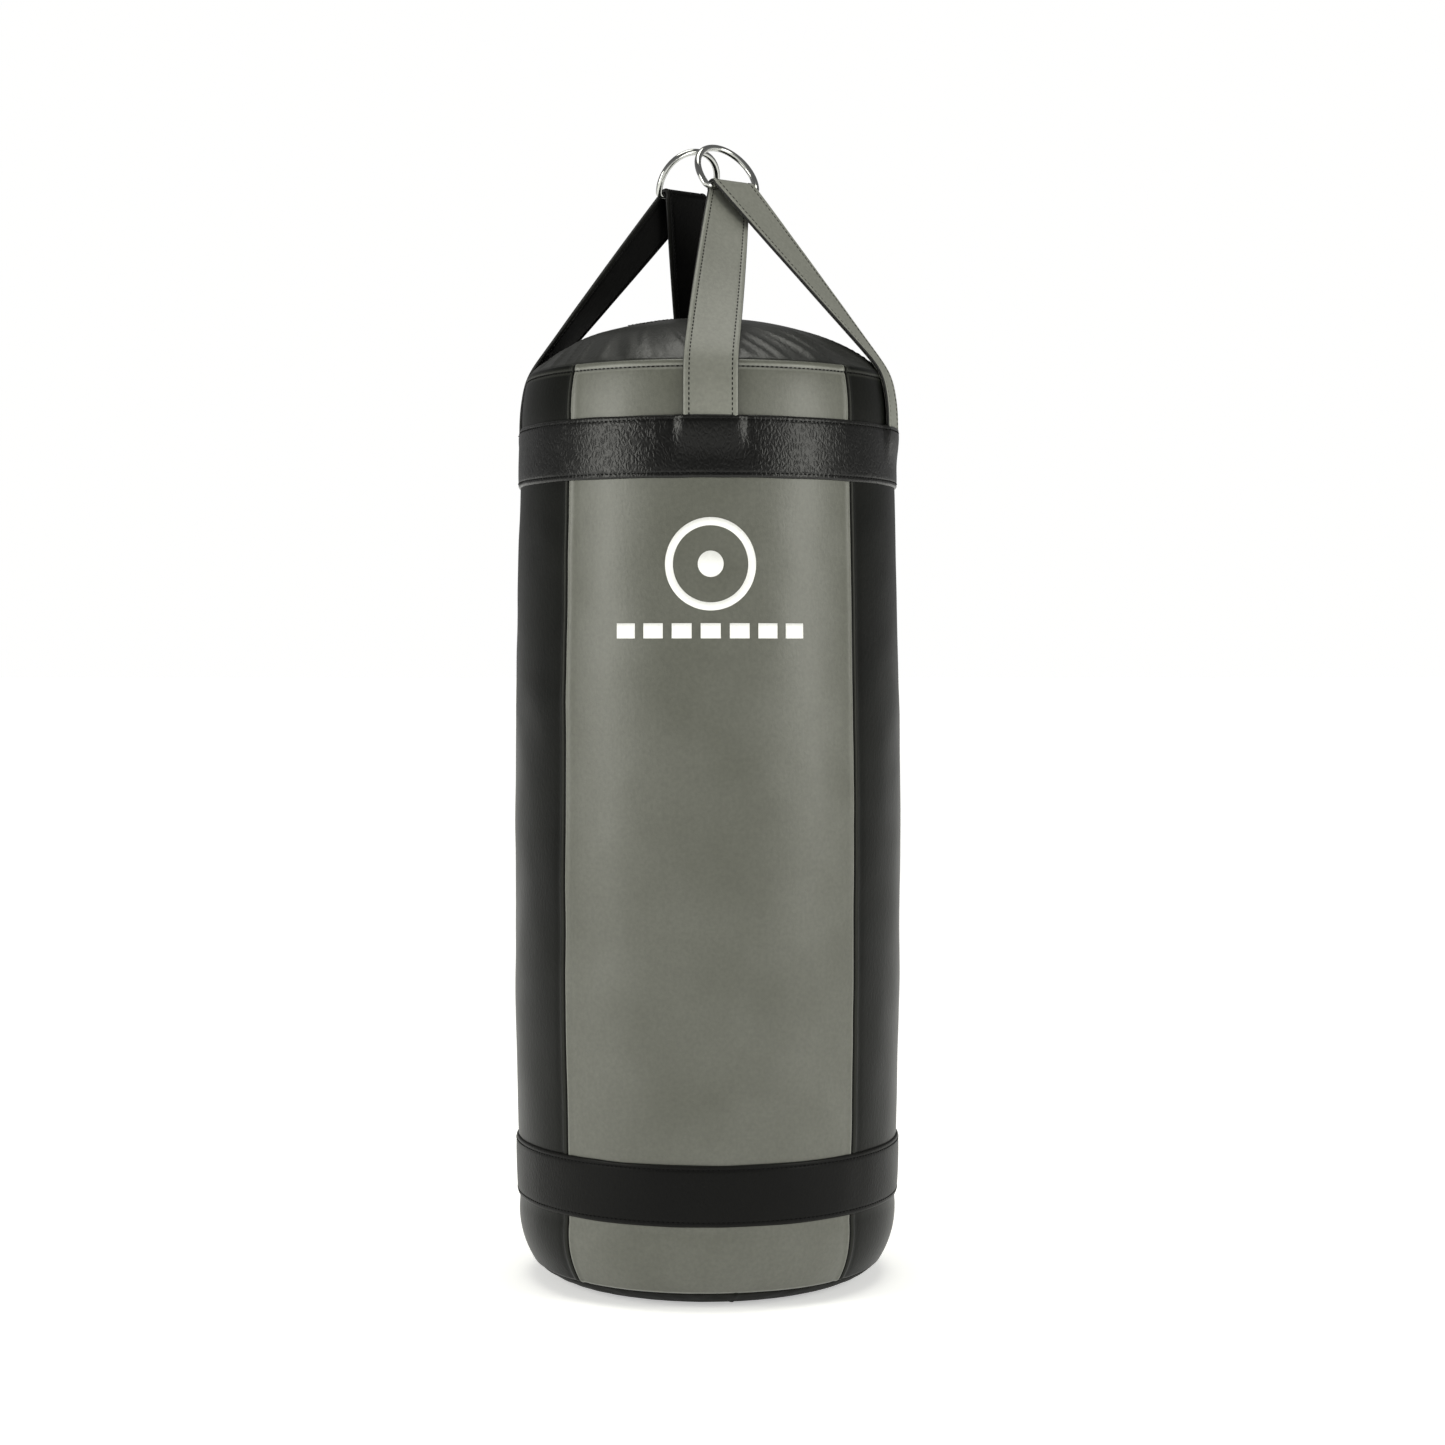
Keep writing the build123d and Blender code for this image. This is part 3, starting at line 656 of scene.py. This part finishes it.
# ------------------------------------------------------------------ lid
# The lid is one round piece of black coated cloth, gathered at its rim into the top seam, so that
# short folds run in from the edge and fade towards the crown. A hemmed mouth is cut for the zip.
CAP_R, CAP_Z, CAP_EDGE = 410.0, 598.0, 110.0
SHOULDER_R, SHOULDER_OUT, SHOULDER_Z = 177.7, 62.33, 821.8
RIM_R = 187.4
ZIP_TURN = math.radians(218.0)
MOUTH_HALF_W, MOUTH_HALF_L = 7.5, 94.0

lid_cloth = coated_vinyl("black_lid_cloth", "#181916", "#222320", 0.4, 1.4, 7.0, 0.12, "#343530", 0.8, shine=0.35)


def lid_height(r):
    if r <= CAP_EDGE:
        return CAP_Z + math.sqrt(CAP_R**2 - r * r)
    return SHOULDER_Z + math.sqrt(SHOULDER_R**2 - (r - SHOULDER_OUT) ** 2)


def mouth_distance(p):
    """Distance in millimetres from the zip's mouth, in plan."""
    x = abs(p.x * math.cos(ZIP_TURN) + p.y * math.sin(ZIP_TURN)) - MOUTH_HALF_L
    y = abs(p.y * math.cos(ZIP_TURN) - p.x * math.sin(ZIP_TURN)) - MOUTH_HALF_W
    return math.hypot(max(x, 0.0), max(y, 0.0))


def gathers(p):
    """The folds that gathering leaves in the lid, in millimetres outwards."""
    r = math.hypot(p.x, p.y)
    turn = math.degrees(math.atan2(p.x, -p.y))
    rim = ramp(r, 100, 172) * ramp(r, 187.0, 181.0)
    a = math.radians(turn + 0.22 * (RIM_R - r))
    swirl = Vector((math.cos(a), math.sin(a), 0.0))
    fold = 1 - abs(noise.noise(swirl * 6.5 + Vector((0, 0, r * 0.006)))) * 3.0
    small = 1 - abs(noise.noise(swirl * 15.0 + Vector((7, 0, r * 0.01)))) * 3.0
    lumps = noise.noise(Vector((p.x, p.y, 0)) * 0.014) * ramp(r, 40, 110)
    shape = 2.2 * max(0.0, fold) ** 2 + 0.6 * max(0.0, small) ** 2 - 1.2
    clear = ramp(mouth_distance(p), 4, 45)
    return (rim * shape + 2.4 * lumps * ramp(r, 187.0, 165.0)) * clear


bm = bmesh.new()
profile = [0.0] + [RIM_R * (i / 64) ** 0.85 for i in range(1, 65)]
path = [Vector((r, 0, lid_height(r))) for r in profile]
path += [Vector((RIM_R - 0.6, 0, SEAM_Z - 4)), Vector((RIM_R - 1.2, 0, SEAM_Z - 17))]
points = [bm.verts.new(p) for p in path]
edges = [bm.edges.new(pair) for pair in zip(points, points[1:])]
bmesh.ops.spin(
    bm, geom=points + edges, cent=(0, 0, 0), axis=(0, 0, 1), angle=2 * math.pi, steps=300, use_merge=True
)
bmesh.ops.remove_doubles(bm, verts=bm.verts[:], dist=0.01)
across = Vector((-math.sin(ZIP_TURN), math.cos(ZIP_TURN), 0))
length = Vector((math.cos(ZIP_TURN), math.sin(ZIP_TURN), 0))
for axis, half in ((across, MOUTH_HALF_W), (length, MOUTH_HALF_L)):
    for side in (-1, 1):
        near = [f for f in bm.faces if mouth_distance(f.calc_center_median()) < 25]
        parts = near + list({e for f in near for e in f.edges}) + list({v for f in near for v in f.verts})
        bmesh.ops.bisect_plane(bm, geom=parts, plane_co=axis * half * side, plane_no=axis)
gone = [f for f in bm.faces if mouth_distance(f.calc_center_median()) < 0.001]
bmesh.ops.delete(bm, geom=gone, context="FACES")
bmesh.ops.recalc_face_normals(bm, faces=bm.faces[:])
if sum(f.normal.z for f in bm.faces) < 0:
    bmesh.ops.reverse_faces(bm, faces=bm.faces[:])
bm.normal_update()
for v, way in [(v, v.normal.copy()) for v in bm.verts]:
    away = mouth_distance(v.co)
    rolled = 0.7 * bump(away, 2.2, 1.6) - 0.5 * bump(away, 0, 0.7) - 0.3 * bump(away, 5.0, 0.9)
    v.co += way * (gathers(v.co) + rolled * ramp(v.co.z, 940, 960))
bmesh.ops.solidify(bm, geom=bm.faces[:], thickness=VINYL_T)
# The mouth's rim gets the coat's painted shade in the fold and painted highlight on the lip.
mark_edges(bm, lambda x, y: mouth_distance(Vector((x, y, 0))) + 1.2)
for v in bm.verts:
    v.co *= MM
lid = make_piece("gathered_lid", bm, lid_cloth, "black_vinyl")
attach(lid, "bag")
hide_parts("top_lid")

# ------------------------------------------------------------------ zip
# A number 5 nylon coil zip, sewn under the mouth: two herringbone tapes, a wound coil on each, metal
# stops, and a plated slider with a flat pull, by which the bag is filled.
ZIP_FACE, COIL_MID, COIL_OUT, COIL_R, WIRE_R = 407.96, 407.51, 1.9, 1.05, 0.34
TAPE_W, TAPE_T, TAPE_HALF_ANGLE, COIL_HALF_ANGLE = 16.0, 0.9, 14.0, 12.5
COIL_PITCH = 1.9


def on_zip(x, y, z):
    """From a distance along the zip, a distance across it and a ball radius, all in millimetres."""
    a = x / CAP_R
    flat = length * (math.sin(a) * z) + across * y
    return Vector((flat.x, flat.y, CAP_Z + math.cos(a) * z)) * MM


# Woven polyester tape, dyed black; its herringbone shows as fine slanting ribs.
tape_weave, tree, shader = start_material("woven_polyester_tape", "#141414", 0.8, IOR=1.53)
flat = add(tree, "ShaderNodeUVMap", uv_map="UVMap").outputs["UV"]
slanted = add(tree, "ShaderNodeMapping", {"Vector": flat, "Rotation": (0, 0, 0.7)})
twill = add(tree, "ShaderNodeTexWave", {"Vector": slanted.outputs["Vector"], "Scale": 320.0, "Distortion": 0.6})
ribs = add(
    tree,
    "ShaderNodeMix",
    {"Factor": twill.outputs["Fac"], "A": paint("#0b0b0b"), "B": paint("#232322")},
    data_type="RGBA",
)
tree.links.new(ribs.outputs["Result"], shader.inputs["Base Color"])
raised = add(tree, "ShaderNodeBump", {"Height": twill.outputs["Fac"], "Strength": 0.6, "Distance": 0.25 * MM})
tree.links.new(raised.outputs["Normal"], shader.inputs["Normal"])

# Nylon monofilament, black and slightly waxy.
coil_nylon, tree, shader = start_material("black_nylon_coil", "#101010", 0.35, IOR=1.53)
spot = add(tree, "ShaderNodeTexCoord").outputs["Object"]
wax = add(tree, "ShaderNodeTexNoise", {"Vector": spot, "Scale": 500.0})
sheen = add(tree, "ShaderNodeMapRange", {"Value": wax.outputs["Fac"], "To Min": 0.25, "To Max": 0.45})
tree.links.new(sheen.outputs["Result"], shader.inputs["Roughness"])

# Zinc alloy, die-cast and nickel-plated, a little worn.
zip_metal, tree, shader = start_material("nickel_plated_zinc", "#b9b7b0", 0.25, Metallic=1.0)
spot = add(tree, "ShaderNodeTexCoord").outputs["Object"]
wear = add(tree, "ShaderNodeTexNoise", {"Vector": spot, "Scale": 350.0, "Detail": 4.0})
dull = add(tree, "ShaderNodeMapRange", {"Value": wear.outputs["Fac"], "To Min": 0.18, "To Max": 0.4})
tree.links.new(dull.outputs["Result"], shader.inputs["Roughness"])
cast = add(tree, "ShaderNodeBump", {"Height": wear.outputs["Fac"], "Strength": 0.2, "Distance": 0.1 * MM})
tree.links.new(cast.outputs["Normal"], shader.inputs["Normal"])

for side, way in (("left", 1), ("right", -1)):
    long = 2 * math.radians(TAPE_HALF_ANGLE) * CAP_R
    bm = cut_cloth(long, TAPE_W, 90, 8, TAPE_T, crowd=0.0)
    offset = way * (3.0 + TAPE_W / 2)
    wrap(bm, lambda x, y, z: on_zip(x, y + offset, ZIP_FACE + z))
    tape = make_piece(f"zip_tape_{side}_weave", bm, tape_weave, "woven_tape")
    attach(tape, "bag")
    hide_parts(f"zip_tape_{side}")
    long = 2 * math.radians(COIL_HALF_ANGLE) * CAP_R
    turns = int(long / COIL_PITCH)
    bm = bmesh.new()
    ring = bmesh.ops.create_circle(bm, segments=5, radius=WIRE_R)["verts"]
    loop = list({e for v in ring for e in v.link_edges})
    bmesh.ops.rotate(bm, verts=ring, cent=(0, 0, 0), matrix=Matrix.Rotation(math.pi / 2, 3, "X"))
    bmesh.ops.translate(bm, verts=ring, vec=(0, 0, COIL_R))
    bmesh.ops.rotate(bm, verts=ring, cent=(0, 0, 0), matrix=Matrix.Rotation(0.0, 3, "X"))
    steps = turns * 10
    bmesh.ops.spin(
        bm,
        geom=ring + loop,
        cent=(0, 0, 0),
        axis=(1, 0, 0),
        dvec=(long / steps, 0, 0),
        angle=2 * math.pi * turns,
        steps=steps,
    )
    middle = way * COIL_OUT
    wrap(bm, lambda x, y, z: on_zip(x - long / 2, y + middle, COIL_MID + z))
    coil = make_piece(f"zip_coil_{side}_wound", bm, coil_nylon, "nylon_coil")
    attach(coil, "bag")
    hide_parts(f"zip_coil_{side}")

for node in ("zip_stops", "zip_slider", "zip_pull"):
    clad(node, zip_metal)

around = []
for side in (-1, 1):
    steps = int(2 * MOUTH_HALF_L / STITCH_PITCH)
    for i in range(steps):
        x = (2 * (i + 0.5) / steps - 1) * (MOUTH_HALF_L + 4)
        spot = on_zip(x, side * (MOUTH_HALF_W + 5), CAP_R + 0.1)
        around.append((spot, length, Vector((0, 0, 1))))
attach(sew("zip_mouth_stitching", around), "bag")

# ------------------------------------------------------------------ base
# The base is a round of the black cloth over a stiff board. Its edge turns up and is sewn into the
# foot of the wall, where it puckers a little; one short seam closes the strip that stiffens it.
FLAT_R, EDGE_R, RIM_BASE_R = 140.0, 61.56, 181.4
TICK_TURN = 7.9

base_cloth = coated_vinyl("black_base_cloth", "#0e0f0c", "#151612", 0.6, 1.6, 6.0, 0.08, "#343530", 0.9, shine=0.08)


def base_height(r):
    return 0.0 if r <= FLAT_R else EDGE_R - math.sqrt(EDGE_R**2 - (r - FLAT_R) ** 2)


bm = bmesh.new()
profile = [FLAT_R * i / 24 for i in range(25)] + [FLAT_R + (RIM_BASE_R - FLAT_R) * i / 18 for i in range(1, 19)]
path = [Vector((r, 0, base_height(r))) for r in profile]
path += [Vector((RIM_BASE_R, 0, BASE_Z + 4)), Vector((RIM_BASE_R - 0.5, 0, BASE_Z + 14))]
points = [bm.verts.new(p) for p in path]
edges = [bm.edges.new(pair) for pair in zip(points, points[1:])]
bmesh.ops.spin(
    bm, geom=points + edges, cent=(0, 0, 0), axis=(0, 0, 1), angle=2 * math.pi, steps=360, use_merge=True
)
bmesh.ops.remove_doubles(bm, verts=bm.verts[:], dist=0.01)
mark_edges(bm, lambda x, y: 20.0)
bmesh.ops.recalc_face_normals(bm, faces=bm.faces[:])
if sum(f.normal.z for f in bm.faces) > 0:
    bmesh.ops.reverse_faces(bm, faces=bm.faces[:])
for v in bm.verts:
    r = math.hypot(v.co.x, v.co.y)
    turn = math.degrees(math.atan2(v.co.x, -v.co.y))
    pucker = noise.noise(Vector((v.co.x, v.co.y, 0)) * 0.075) * ramp(r, 150, 172) * ramp(v.co.z, 18, 12)
    tick = bump((turn - TICK_TURN) * math.radians(1) * r, 0, 1.2) * ramp(r, 145, 160)
    away = Vector((v.co.x, v.co.y, -0.6 * r)).normalized() if r > 1 else Vector((0, 0, 0))
    lift = away * (0.9 * pucker + 1.5 * tick)
    v.co += Vector((lift.x, lift.y, max(lift.z, -v.co.z)))
bmesh.ops.solidify(bm, geom=bm.faces[:], thickness=VINYL_T)
for v in bm.verts:
    v.co *= MM
floor_level = min(v.co.z for v in bm.verts)
bmesh.ops.translate(bm, verts=bm.verts[:], vec=(0, 0, -min(0.0, floor_level)))
base = make_piece("base_round", bm, base_cloth, "black_vinyl")
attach(base, "bag")
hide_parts("base_panel")

# ------------------------------------------------------------------ printed target
# A plain target of a ring, a dot and a row of bars, screen-printed on the front panel in white
# plastisol ink: a thin, slightly raised film with a dull, even surface.
MARK_Z, RING_OUT, RING_IN, DOT_R = 745.0, 46.0, 38.0, 13.0
BARS, BAR_W, BAR_H, BAR_PITCH, BAR_DROP = 7, 20.0, 15.0, 29.0, 66.0
INK_LIFT, INK_T = 0.2, 0.3

ink, tree, shader = start_material("white_plastisol_ink", "#f4f4f2", 0.5, IOR=1.5)
spot = add(tree, "ShaderNodeTexCoord").outputs["Object"]
mesh_marks = add(tree, "ShaderNodeTexNoise", {"Vector": spot, "Scale": 700.0, "Detail": 2.0})
shade = add(
    tree,
    "ShaderNodeMix",
    {"Factor": mesh_marks.outputs["Fac"], "A": paint("#ecece9"), "B": paint("#fafaf8")},
    data_type="RGBA",
)
tree.links.new(shade.outputs["Result"], shader.inputs["Base Color"])
film = add(tree, "ShaderNodeBump", {"Height": mesh_marks.outputs["Fac"], "Strength": 0.3, "Distance": 0.08 * MM})
tree.links.new(film.outputs["Normal"], shader.inputs["Normal"])

bm = bmesh.new()
rings = [bmesh.ops.create_circle(bm, segments=120, radius=r)["verts"] for r in (RING_OUT, RING_IN)]
hoops = [e for r in rings for e in {e for v in r for e in v.link_edges}]
bmesh.ops.bridge_loops(bm, edges=hoops)
dot = bmesh.ops.create_circle(bm, segments=60, radius=DOT_R, cap_ends=True)["verts"]
disc = list({f for v in dot for f in v.link_faces})
bmesh.ops.inset_region(bm, faces=disc, thickness=DOT_R / 2)
for i in range(BARS):
    shape = Matrix.Translation((BAR_PITCH * (i - (BARS - 1) / 2), -BAR_DROP, 0))
    shape @= Matrix.Diagonal((BAR_W / 2, BAR_H / 2, 1, 1))
    bmesh.ops.create_grid(bm, x_segments=8, y_segments=4, size=1.0, matrix=shape)
bmesh.ops.recalc_face_normals(bm, faces=bm.faces[:])
for face in bm.faces:
    if face.normal.z < 0:
        face.normal_flip()
bmesh.ops.solidify(bm, geom=bm.faces[:], thickness=INK_T)
top = max(v.co.z for v in bm.verts)
wrap(bm, lambda x, y, z: on_wall(math.degrees(x / BELLY_R), MARK_Z + y, z - top + INK_LIFT + INK_T))
mark = make_piece("target_print", bm, ink, "white_ink")
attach(mark, "bag")
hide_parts("printed_mark")

# ------------------------------------------------------------------ inside the bag
# Out of sight: a board and foam pads at the ends, a canvas liner packed with shredded textile, three
# sand bags down the middle, a foam wrap under the wall, and woven tapes behind the panel seams.
def stuffing(name, low, high, roughness, scale, depth):
    material, tree, shader = start_material(name, high, roughness, IOR=1.5)
    spot = add(tree, "ShaderNodeTexCoord").outputs["Object"]
    rough = add(tree, "ShaderNodeTexNoise", {"Vector": spot, "Scale": scale, "Detail": 5.0})
    mixed = add(
        tree,
        "ShaderNodeMix",
        {"Factor": rough.outputs["Fac"], "A": paint(low), "B": paint(high)},
        data_type="RGBA",
    )
    tree.links.new(mixed.outputs["Result"], shader.inputs["Base Color"])
    lumpy = add(tree, "ShaderNodeBump", {"Height": rough.outputs["Fac"], "Strength": 0.6, "Distance": depth * MM})
    tree.links.new(lumpy.outputs["Normal"], shader.inputs["Normal"])
    return material


inside = {
    stuffing("pressed_fibre_board", "#6b5134", "#8b6b47", 0.8, 300.0, 0.3): ("base_board",),
    stuffing("open_cell_foam", "#b9b39c", "#d2cdb8", 0.9, 700.0, 0.6): ("foam_base_pad", "foam_top_pad", "foam_wrap"),
    stuffing("cotton_canvas", "#a79a7c", "#c2b697", 0.85, 500.0, 0.4): ("canvas_liner",),
    stuffing("shredded_textile", "#5d6470", "#8f8a82", 0.95, 90.0, 2.0): (
        "textile_fill_lower",
        "textile_fill_middle",
        "textile_fill_upper",
    ),
    stuffing("sand_bag_canvas", "#8f8467", "#aea283", 0.9, 420.0, 0.5): ("sand_bag_1", "sand_bag_2", "sand_bag_3"),
    tape_weave: tuple(f"seam_tape_{a}_{b}" for a in ("front", "back") for b in ("left", "right")),
}
for material, nodes in inside.items():
    for node in nodes:
        clad(node, material)

# ------------------------------------------------------------------ floor, light and camera
# A matt white studio table lit faintly from below, two tall soft boxes either side of the camera, and
# a large soft light overhead; the walls of the studio are pale at eye level and darker above.
bm = bmesh.new()
bmesh.ops.create_grid(bm, x_segments=2, y_segments=2, size=60.0)
mesh = bpy.data.meshes.new("studio_floor")
bm.to_mesh(mesh)
bm.free()
floor_paint, tree, shader = start_material("matt_studio_floor", "#fafaf8", 0.9)
spot = add(tree, "ShaderNodeTexCoord").outputs["Object"]
scuff = add(tree, "ShaderNodeTexNoise", {"Vector": spot, "Scale": 3.0, "Detail": 3.0})
pale = add(
    tree,
    "ShaderNodeMix",
    {"Factor": scuff.outputs["Fac"], "A": paint("#f8f8f6"), "B": paint("#fdfdfb")},
    data_type="RGBA",
)
tree.links.new(pale.outputs["Result"], shader.inputs["Base Color"])
shader.inputs["Emission Color"].default_value = (1.0, 1.0, 1.0, 1.0)
shader.inputs["Emission Strength"].default_value = 0.44
mesh.materials.append(floor_paint)
floor = bpy.data.objects.new("studio_floor", mesh)
bpy.context.scene.collection.objects.link(floor)

world = bpy.data.worlds.new("studio")
bpy.context.scene.world = world
world.use_nodes = True
tree = world.node_tree
sky = tree.nodes["Background"]
way = add(tree, "ShaderNodeTexCoord").outputs["Generated"]
height = add(tree, "ShaderNodeSeparateXYZ", {"Vector": way}).outputs["Z"]
level = add(tree, "ShaderNodeMapRange", {"Value": height, "From Min": 0.12, "From Max": 0.7, "To Min": 0.28, "To Max": 0.2})
seen = add(tree, "ShaderNodeLightPath").outputs["Is Camera Ray"]
backdrop = add(tree, "ShaderNodeMix", {"Factor": seen, "A": level.outputs["Result"], "B": 1.0})
tree.links.new(backdrop.outputs["Result"], sky.inputs["Strength"])
sky.inputs["Color"].default_value = (1.0, 1.0, 0.995, 1.0)


LAMP_TINT = (1.0, 1.0, 0.93)


def soft_box(name, spot, target, width, height, power):
    light = bpy.data.lights.new(name, "AREA")
    light.shape, light.size, light.size_y, light.energy = "RECTANGLE", width, height, power
    light.color = LAMP_TINT
    lamp = bpy.data.objects.new(name, light)
    lamp.location = spot
    lamp.rotation_euler = (Vector(target) - Vector(spot)).to_track_quat("-Z", "Y").to_euler()
    bpy.context.scene.collection.objects.link(lamp)


soft_box("left_soft_box", (-2.1, -1.2, 1.15), (0, 0, 0.75), 0.8, 1.4, 27)
soft_box("right_soft_box", (2.0, -1.3, 1.15), (0, 0, 0.75), 0.8, 1.4, 25)

sun = bpy.data.lights.new("overhead_fill", "SUN")
sun.energy, sun.angle, sun.color = 1.6, math.radians(40), LAMP_TINT
overhead = bpy.data.objects.new("overhead_fill", sun)
overhead.rotation_euler = (math.radians(-4), 0.0, 0.0)
bpy.context.scene.collection.objects.link(overhead)

view = bpy.data.cameras.new("camera")
view.lens, view.sensor_width = 66.7, 36.0
view.clip_end = 300.0
camera = bpy.data.objects.new("camera", view)
camera.location = (-0.0446, -2.8416, 0.66)
camera.rotation_euler = (math.radians(90 - 1.55), 0.0, math.radians(-1.22))
bpy.context.scene.collection.objects.link(camera)
bpy.context.scene.camera = camera
bpy.context.scene.view_settings.view_transform = "Standard"
